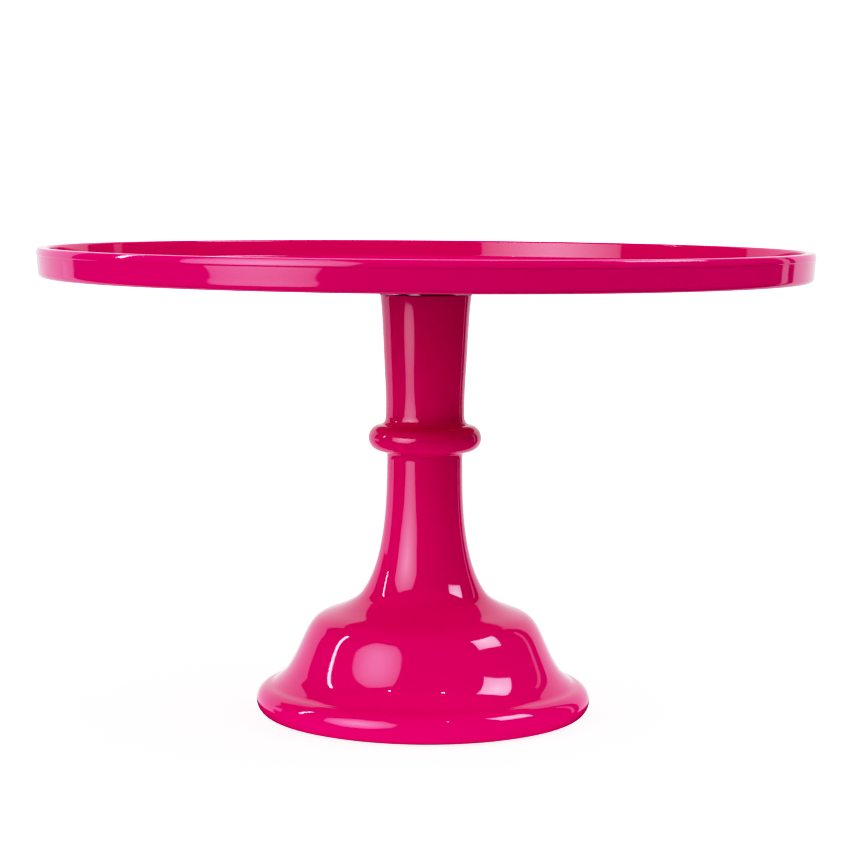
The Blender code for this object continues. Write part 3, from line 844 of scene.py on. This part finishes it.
def build_tube_nut(material):
    """The thin nut that clamps the tube, with a chamfer at both ends of its bore."""
    low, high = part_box("tube_nut")
    tube_nut = hexagon("thin_nut", high[0] * 2, low[2], high[2], TUBE_NUT_CHAMFER)
    inner, wide = TUBE_NUT_BORE, TUBE_NUT_BORE + MM
    bore = [(0.0, high[2] + MM), (wide, high[2] + MM), (inner, high[2] - BORE_CHAMFER)]
    bore += [(inner, low[2] + BORE_CHAMFER), (wide, low[2] - MM), (0.0, low[2] - MM)]
    cut(tube_nut, turned("bore", bore, NUT_STEPS, closed=False))
    finish_piece(tube_nut, "base", material, ("tube_nut",))


def build_lock_nut(material, nylon):
    """The lock nut on the spindle: hexagon, crimped collar under it and a nylon ring inside."""
    low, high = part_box("spindle_nut")
    bottom, top = low[2], high[2]
    collar_top = bottom + COLLAR_HEIGHT
    lock_nut = hexagon("lock_nut", high[0] * 2, collar_top, top, LOCK_NUT_CHAMFER)
    inner = LOCK_NUT_BORE
    bore = [(0.0, top + MM), (inner + MM, top + MM), (inner, top - BORE_CHAMFER)]
    bore += [(inner, collar_top - MM), (0.0, collar_top - MM)]
    cut(lock_nut, turned("bore", bore, NUT_STEPS, closed=False))
    finish_piece(lock_nut, "turntable", material, ("spindle_nut",))
    collar = [(6.1 * MM, collar_top), (6.1 * MM, bottom + 0.9 * MM), (5.6 * MM, bottom + 0.2 * MM)]
    collar += [(5.0 * MM, bottom), (4.9 * MM, bottom + 0.35 * MM), (5.2 * MM, bottom + 0.8 * MM)]
    collar += [(5.2 * MM, collar_top)]
    crimp = turned("lock_nut_collar", collar, NUT_STEPS)
    finish_piece(crimp, "turntable", material)
    ring_top = collar_top - 0.05 * MM
    ring = [(5.15 * MM, ring_top), (5.15 * MM, bottom + 0.85 * MM), (4.95 * MM, bottom + 0.5 * MM)]
    ring += [(4.3 * MM, bottom + 0.5 * MM), (4.05 * MM, bottom + 0.8 * MM), (4.05 * MM, ring_top)]
    insert = turned("lock_nut_nylon", ring, NUT_STEPS)
    finish_piece(insert, "turntable", nylon)


# ---------------------------------------------------------------- studio

LIGHT_DISTANCE = 1.3
LIGHT_AIM = 0.08             # height on the stem that the lights face
SHADE_RADIANCE = 0.02
SHADE_RADIUS = 0.079
BOARD_NEAR = Vector((-0.476, 0.141, 0.0))
BOARD_FAR = Vector((-0.8, 0.5, 0.0))
BOARD_RISE = Vector((0.0, 0.0, 0.12))
FLOOR_RADIUS = 0.9
FLOOR_GREY = (0.45, 0.45, 0.45, 1.0)
FLOOR_WHITE = 1.1            # what the camera sees of the floor
FLOOR_BOUNCE = 1.3           # the light that it sends up next to the foot
BOUNCE_REACH = (0.06, 0.3)   # the bounce fades out between these distances
BACKDROP = 1.6
ROOM = 0.08
SIDE_FILL = 0.5
RIGHT_FILL = 0.1
TOP_FILL = 2.2
CAMERA_WHITE = 4.0
BACKDROP_LEFT = 1.54         # where the backdrop ends, each as a slope from the y axis
BACKDROP_LEFT_CUT = 0.49     # its left side is this much narrower in its upper part
BACKDROP_UPPER = 0.75
BACKDROP_RIGHT = 1.03
BACKDROP_TOP = 1.4
WHITE_POINT = 1.7
TONE_POINTS = ((0.02, 0.0), (0.225, 0.107), (0.36, 0.216), (0.585, 0.447), (0.773, 0.64), (1.13, 0.855))


def maths(tree, operation, *values):
    """The result of a math node whose inputs are numbers or the outputs of other nodes."""
    node = tree.nodes.new("ShaderNodeMath")
    node.operation = operation
    for index, value in enumerate(values):
        if isinstance(value, (int, float)):
            node.inputs[index].default_value = value
        else:
            tree.links.new(value, node.inputs[index])
    return node.outputs["Value"]


def fading(tree, near, far, first, last):
    """A value that goes from first to last between two distances from the object's own origin."""
    place = tree.nodes.new("ShaderNodeTexCoord")
    length = tree.nodes.new("ShaderNodeVectorMath")
    length.operation = "LENGTH"
    fade = tree.nodes.new("ShaderNodeMapRange")
    fade.inputs["From Min"].default_value = near
    fade.inputs["From Max"].default_value = far
    fade.inputs["To Min"].default_value = first
    fade.inputs["To Max"].default_value = last
    tree.links.new(place.outputs["Object"], length.inputs[0])
    tree.links.new(length.outputs["Value"], fade.inputs["Value"])
    return fade.outputs["Result"]


def glow_material(name, radiance, edge=1.0):
    """An emitter; edge below 1 dims it from its middle towards its border."""
    material = bpy.data.materials.new(name)
    material.use_nodes = True
    tree = material.node_tree
    tree.nodes.clear()
    output = tree.nodes.new("ShaderNodeOutputMaterial")
    glow = tree.nodes.new("ShaderNodeEmission")
    glow.inputs["Strength"].default_value = radiance
    if edge < 1.0:
        strength = fading(tree, 0.0, 1.0, radiance, radiance * edge)
        tree.links.new(strength, glow.inputs["Strength"])
    tree.links.new(glow.outputs["Emission"], output.inputs["Surface"])
    return material


def direction(azimuth, elevation):
    """The direction at an azimuth from the camera's side (positive to the right) and an elevation."""
    a, e = math.radians(azimuth), math.radians(elevation)
    return Vector((math.sin(a) * math.cos(e), -math.cos(a) * math.cos(e), math.sin(e)))


def light_panel(name, azimuth, elevation, size, radiance, sides=4, edge=1.0, lean=0.0, share=1.0):
    """A glowing panel that faces the stem from a direction.

    size is its width and height in degrees as the stem sees it, and lean turns it in its own plane.
    A share below 1 gives the matt part of the shading only that much of its light.
    """
    aim = Vector((0.0, 0.0, LIGHT_AIM))
    towards = direction(azimuth, elevation)
    flat = math.cos(math.pi / sides)
    across, upwards = (LIGHT_DISTANCE * math.tan(math.radians(angle / 2)) / flat for angle in size)
    facing = towards.to_track_quat("Z", "Y").to_matrix().to_4x4()
    leaning = Matrix.Rotation(math.radians(lean), 4, "Z")
    stretch = Matrix.Diagonal((across, upwards, 1.0, 1.0))
    place = Matrix.Translation(aim + towards * LIGHT_DISTANCE) @ facing @ leaning @ stretch
    panel = glowing_shape(name, sides, place, glow_material(name, radiance, edge))
    if share < 1.0:
        panel.visible_diffuse = False
        matt = glow_material(name + "_matt", radiance * share, edge)
        partner = glowing_shape(name + "_matt", sides, place, matt)
        partner.visible_glossy = False
    return panel


def glowing_shape(name, sides, place, material):
    """A flat glowing polygon that the camera doesn't see and that casts no shadow."""
    shape = bmesh.new()
    bmesh.ops.create_circle(shape, cap_ends=True, segments=sides, radius=1.0)
    turn = Matrix.Rotation(math.pi / sides, 3, "Z")
    bmesh.ops.rotate(shape, verts=shape.verts, cent=(0.0, 0.0, 0.0), matrix=turn)
    mesh = mesh_from(name, shape)
    mesh.materials.append(material)
    panel = in_scene(name, mesh)
    panel.matrix_world = place
    panel.visible_camera = False
    panel.visible_shadow = False
    return panel


def build_contact_shade():
    """The shade on the floor right under the foot, as its gloss reflects it."""
    dark = glow_material("contact_shade", SHADE_RADIANCE)
    place = Matrix.Diagonal((SHADE_RADIUS, SHADE_RADIUS, 1.0, 1.0))
    shade = glowing_shape("contact_shade", 48, place, dark)
    shade.visible_diffuse = False


def build_side_board():
    """A low white board behind on the left, where the backdrop ends."""
    shape = bmesh.new()
    corners = (BOARD_NEAR, BOARD_FAR, BOARD_FAR + BOARD_RISE, BOARD_NEAR + BOARD_RISE)
    shape.faces.new([shape.verts.new(corner) for corner in corners])
    mesh = mesh_from("side_board", shape)
    mesh.materials.append(glow_material("side_board", BACKDROP))
    board = in_scene("side_board", mesh)
    board.visible_camera = False
    board.visible_shadow = False
    board.visible_diffuse = False


def floor_material():
    """Pale matt floor that looks white and sends a soft light up near the foot."""
    material = bpy.data.materials.new("studio_floor")
    material.use_nodes = True
    tree = material.node_tree
    shader = tree.nodes["Principled BSDF"]
    shader.inputs["Base Color"].default_value = FLOOR_GREY
    shader.inputs["Roughness"].default_value = 0.9
    shader.inputs["Specular IOR Level"].default_value = 0.0
    shader.inputs["Emission Color"].default_value = (1.0, 1.0, 1.0, 1.0)
    rays = tree.nodes.new("ShaderNodeLightPath")
    lift = maths(tree, "MULTIPLY", rays.outputs["Is Camera Ray"], FLOOR_WHITE)
    near, far = BOUNCE_REACH
    local = fading(tree, near, far, FLOOR_BOUNCE, 0.0)
    glow = maths(tree, "MULTIPLY_ADD", rays.outputs["Is Diffuse Ray"], local, lift)
    tree.links.new(glow, shader.inputs["Emission Strength"])
    return material


def build_floor():
    """The round floor under the object."""
    shape = bmesh.new()
    bmesh.ops.create_circle(shape, cap_ends=True, segments=96, radius=FLOOR_RADIUS)
    mesh = mesh_from("studio_floor", shape)
    mesh.materials.append(floor_material())
    floor = in_scene("studio_floor", mesh)
    floor.visible_glossy = False


def build_world():
    """White for the camera; for everything else a white backdrop behind and a dark room in front."""
    world = bpy.data.worlds.new("studio")
    bpy.context.scene.world = world
    world.use_nodes = True
    tree = world.node_tree
    tree.nodes.clear()
    links = tree.links
    output = tree.nodes.new("ShaderNodeOutputWorld")
    place = tree.nodes.new("ShaderNodeTexCoord")
    parts = tree.nodes.new("ShaderNodeSeparateXYZ")
    links.new(place.outputs["Generated"], parts.inputs["Vector"])

    def times(first, second):
        return maths(tree, "MULTIPLY", first, second)

    def plus(first, second):
        return maths(tree, "ADD", first, second)

    x, y, z = (parts.outputs[axis] for axis in "XYZ")
    upper = maths(tree, "GREATER_THAN", z, times(y, BACKDROP_UPPER))
    reach = maths(tree, "SUBTRACT", BACKDROP_LEFT, times(upper, BACKDROP_LEFT_CUT))
    left = maths(tree, "GREATER_THAN", plus(x, times(y, reach)), 0.0)
    from_edge = maths(tree, "SUBTRACT", x, times(y, BACKDROP_RIGHT))
    right = maths(tree, "LESS_THAN", from_edge, 0.0)
    below = maths(tree, "LESS_THAN", z, times(y, BACKDROP_TOP))
    backdrop = times(times(left, right), below)
    rays = tree.nodes.new("ShaderNodeLightPath")
    sides = times(times(x, x), SIDE_FILL)
    ceiling = times(maths(tree, "MAXIMUM", z, 0.0), TOP_FILL)
    from_right = times(maths(tree, "MAXIMUM", x, 0.0), RIGHT_FILL)
    ambient = plus(plus(sides, ceiling), from_right)
    fill = times(ambient, rays.outputs["Is Diffuse Ray"])
    strength = plus(times(backdrop, BACKDROP), plus(fill, ROOM))
    room = tree.nodes.new("ShaderNodeBackground")
    links.new(strength, room.inputs["Strength"])
    white = tree.nodes.new("ShaderNodeBackground")
    white.inputs["Strength"].default_value = CAMERA_WHITE
    mix = tree.nodes.new("ShaderNodeMixShader")
    links.new(rays.outputs["Is Camera Ray"], mix.inputs["Fac"])
    links.new(room.outputs["Background"], mix.inputs[1])
    links.new(white.outputs["Background"], mix.inputs[2])
    links.new(mix.outputs["Shader"], output.inputs["Surface"])


def build_lights():
    """A softbox front left, a window-like panel and a strip right, a slit left and two small lamps."""
    light_panel("softbox_left", -44.5, 17.0, (50.0, 56.0), 6.9, sides=8, edge=0.33, share=0.79)
    light_panel("softbox_right", 78.0, 42.0, (25.0, 24.0), 10.5, edge=0.6, lean=-15.0)
    light_panel("slit_left", -95.5, 27.0, (3.2, 22.0), 14.0, lean=8.0)
    light_panel("strip_right", 121.5, 10.0, (4.5, 40.0), 1.2)
    light_panel("lamp_left", -36.5, 50.5, (1.6, 1.6), 40.0, sides=12)
    light_panel("lamp_right", 23.0, 53.5, (1.6, 1.6), 40.0, sides=12)
    build_contact_shade()
    build_side_board()


def set_picture_tone():
    """A photographic tone curve: deeper shadows and softly rolled-off highlights."""
    view = bpy.context.scene.view_settings
    view.view_transform = "Standard"
    view.look = "None"
    view.use_curve_mapping = True
    curves = view.curve_mapping
    curves.white_level = (WHITE_POINT, WHITE_POINT, WHITE_POINT)
    tone = curves.curves[3]
    for place, value in TONE_POINTS:
        tone.points.new(place / WHITE_POINT, value)
    curves.update()


def build_camera():
    """The camera: a little above the plate's rim, a metre in front of the axis."""
    data = bpy.data.cameras.new("camera")
    data.sensor_width = SENSOR_WIDTH
    data.lens = FOCAL_LENGTH
    data.clip_start = NEAREST_SEEN
    camera = in_scene("camera", data)
    look = Matrix.Rotation(math.radians(90.0 - CAMERA_PITCH), 4, "X")
    roll = Matrix.Rotation(math.radians(CAMERA_ROLL), 4, "Z")
    camera.matrix_world = Matrix.Translation((0.0, -CAMERA_DISTANCE, CAMERA_HEIGHT)) @ look @ roll
    bpy.context.scene.camera = camera


def build_studio():
    """Camera, floor, backdrop and lights."""
    build_camera()
    build_floor()
    build_world()
    build_lights()
    set_picture_tone()


build_studio()

pink = melamine("pink_melamine")
aluminium = turned_metal("turned_aluminium", (0.72, 0.73, 0.74), (0.82, 0.83, 0.84), 0.34)
ground_steel = turned_metal("ground_steel", (0.56, 0.56, 0.58), (0.66, 0.66, 0.68), 0.18, 4000.0, 0.000004)
zinc = plated_metal("zinc_plate", (0.58, 0.58, 0.55), (0.72, 0.71, 0.66), 0.36)
yellow_brass = turned_metal("machined_brass", (0.7, 0.5, 0.2), (0.8, 0.6, 0.27), 0.28, 2400.0)
acetal = soft_plastic("white_acetal", (0.74, 0.73, 0.68), (0.82, 0.81, 0.77), 0.42)
nylon = soft_plastic("blue_nylon", (0.05, 0.16, 0.5), (0.07, 0.2, 0.58), 0.5)
rubber = ring_rubber("grey_rubber")

build_plate(pink)
build_pedestal(pink)
build_foot_ring(rubber)
build_hub(aluminium)
build_hub_screws(zinc, yellow_brass)
build_spindle(ground_steel)
build_tube(aluminium)
build_bushes(acetal)
build_bearing(ground_steel, yellow_brass)
build_washers(zinc)
build_tube_nut(zinc)
build_lock_nut(zinc, nylon)
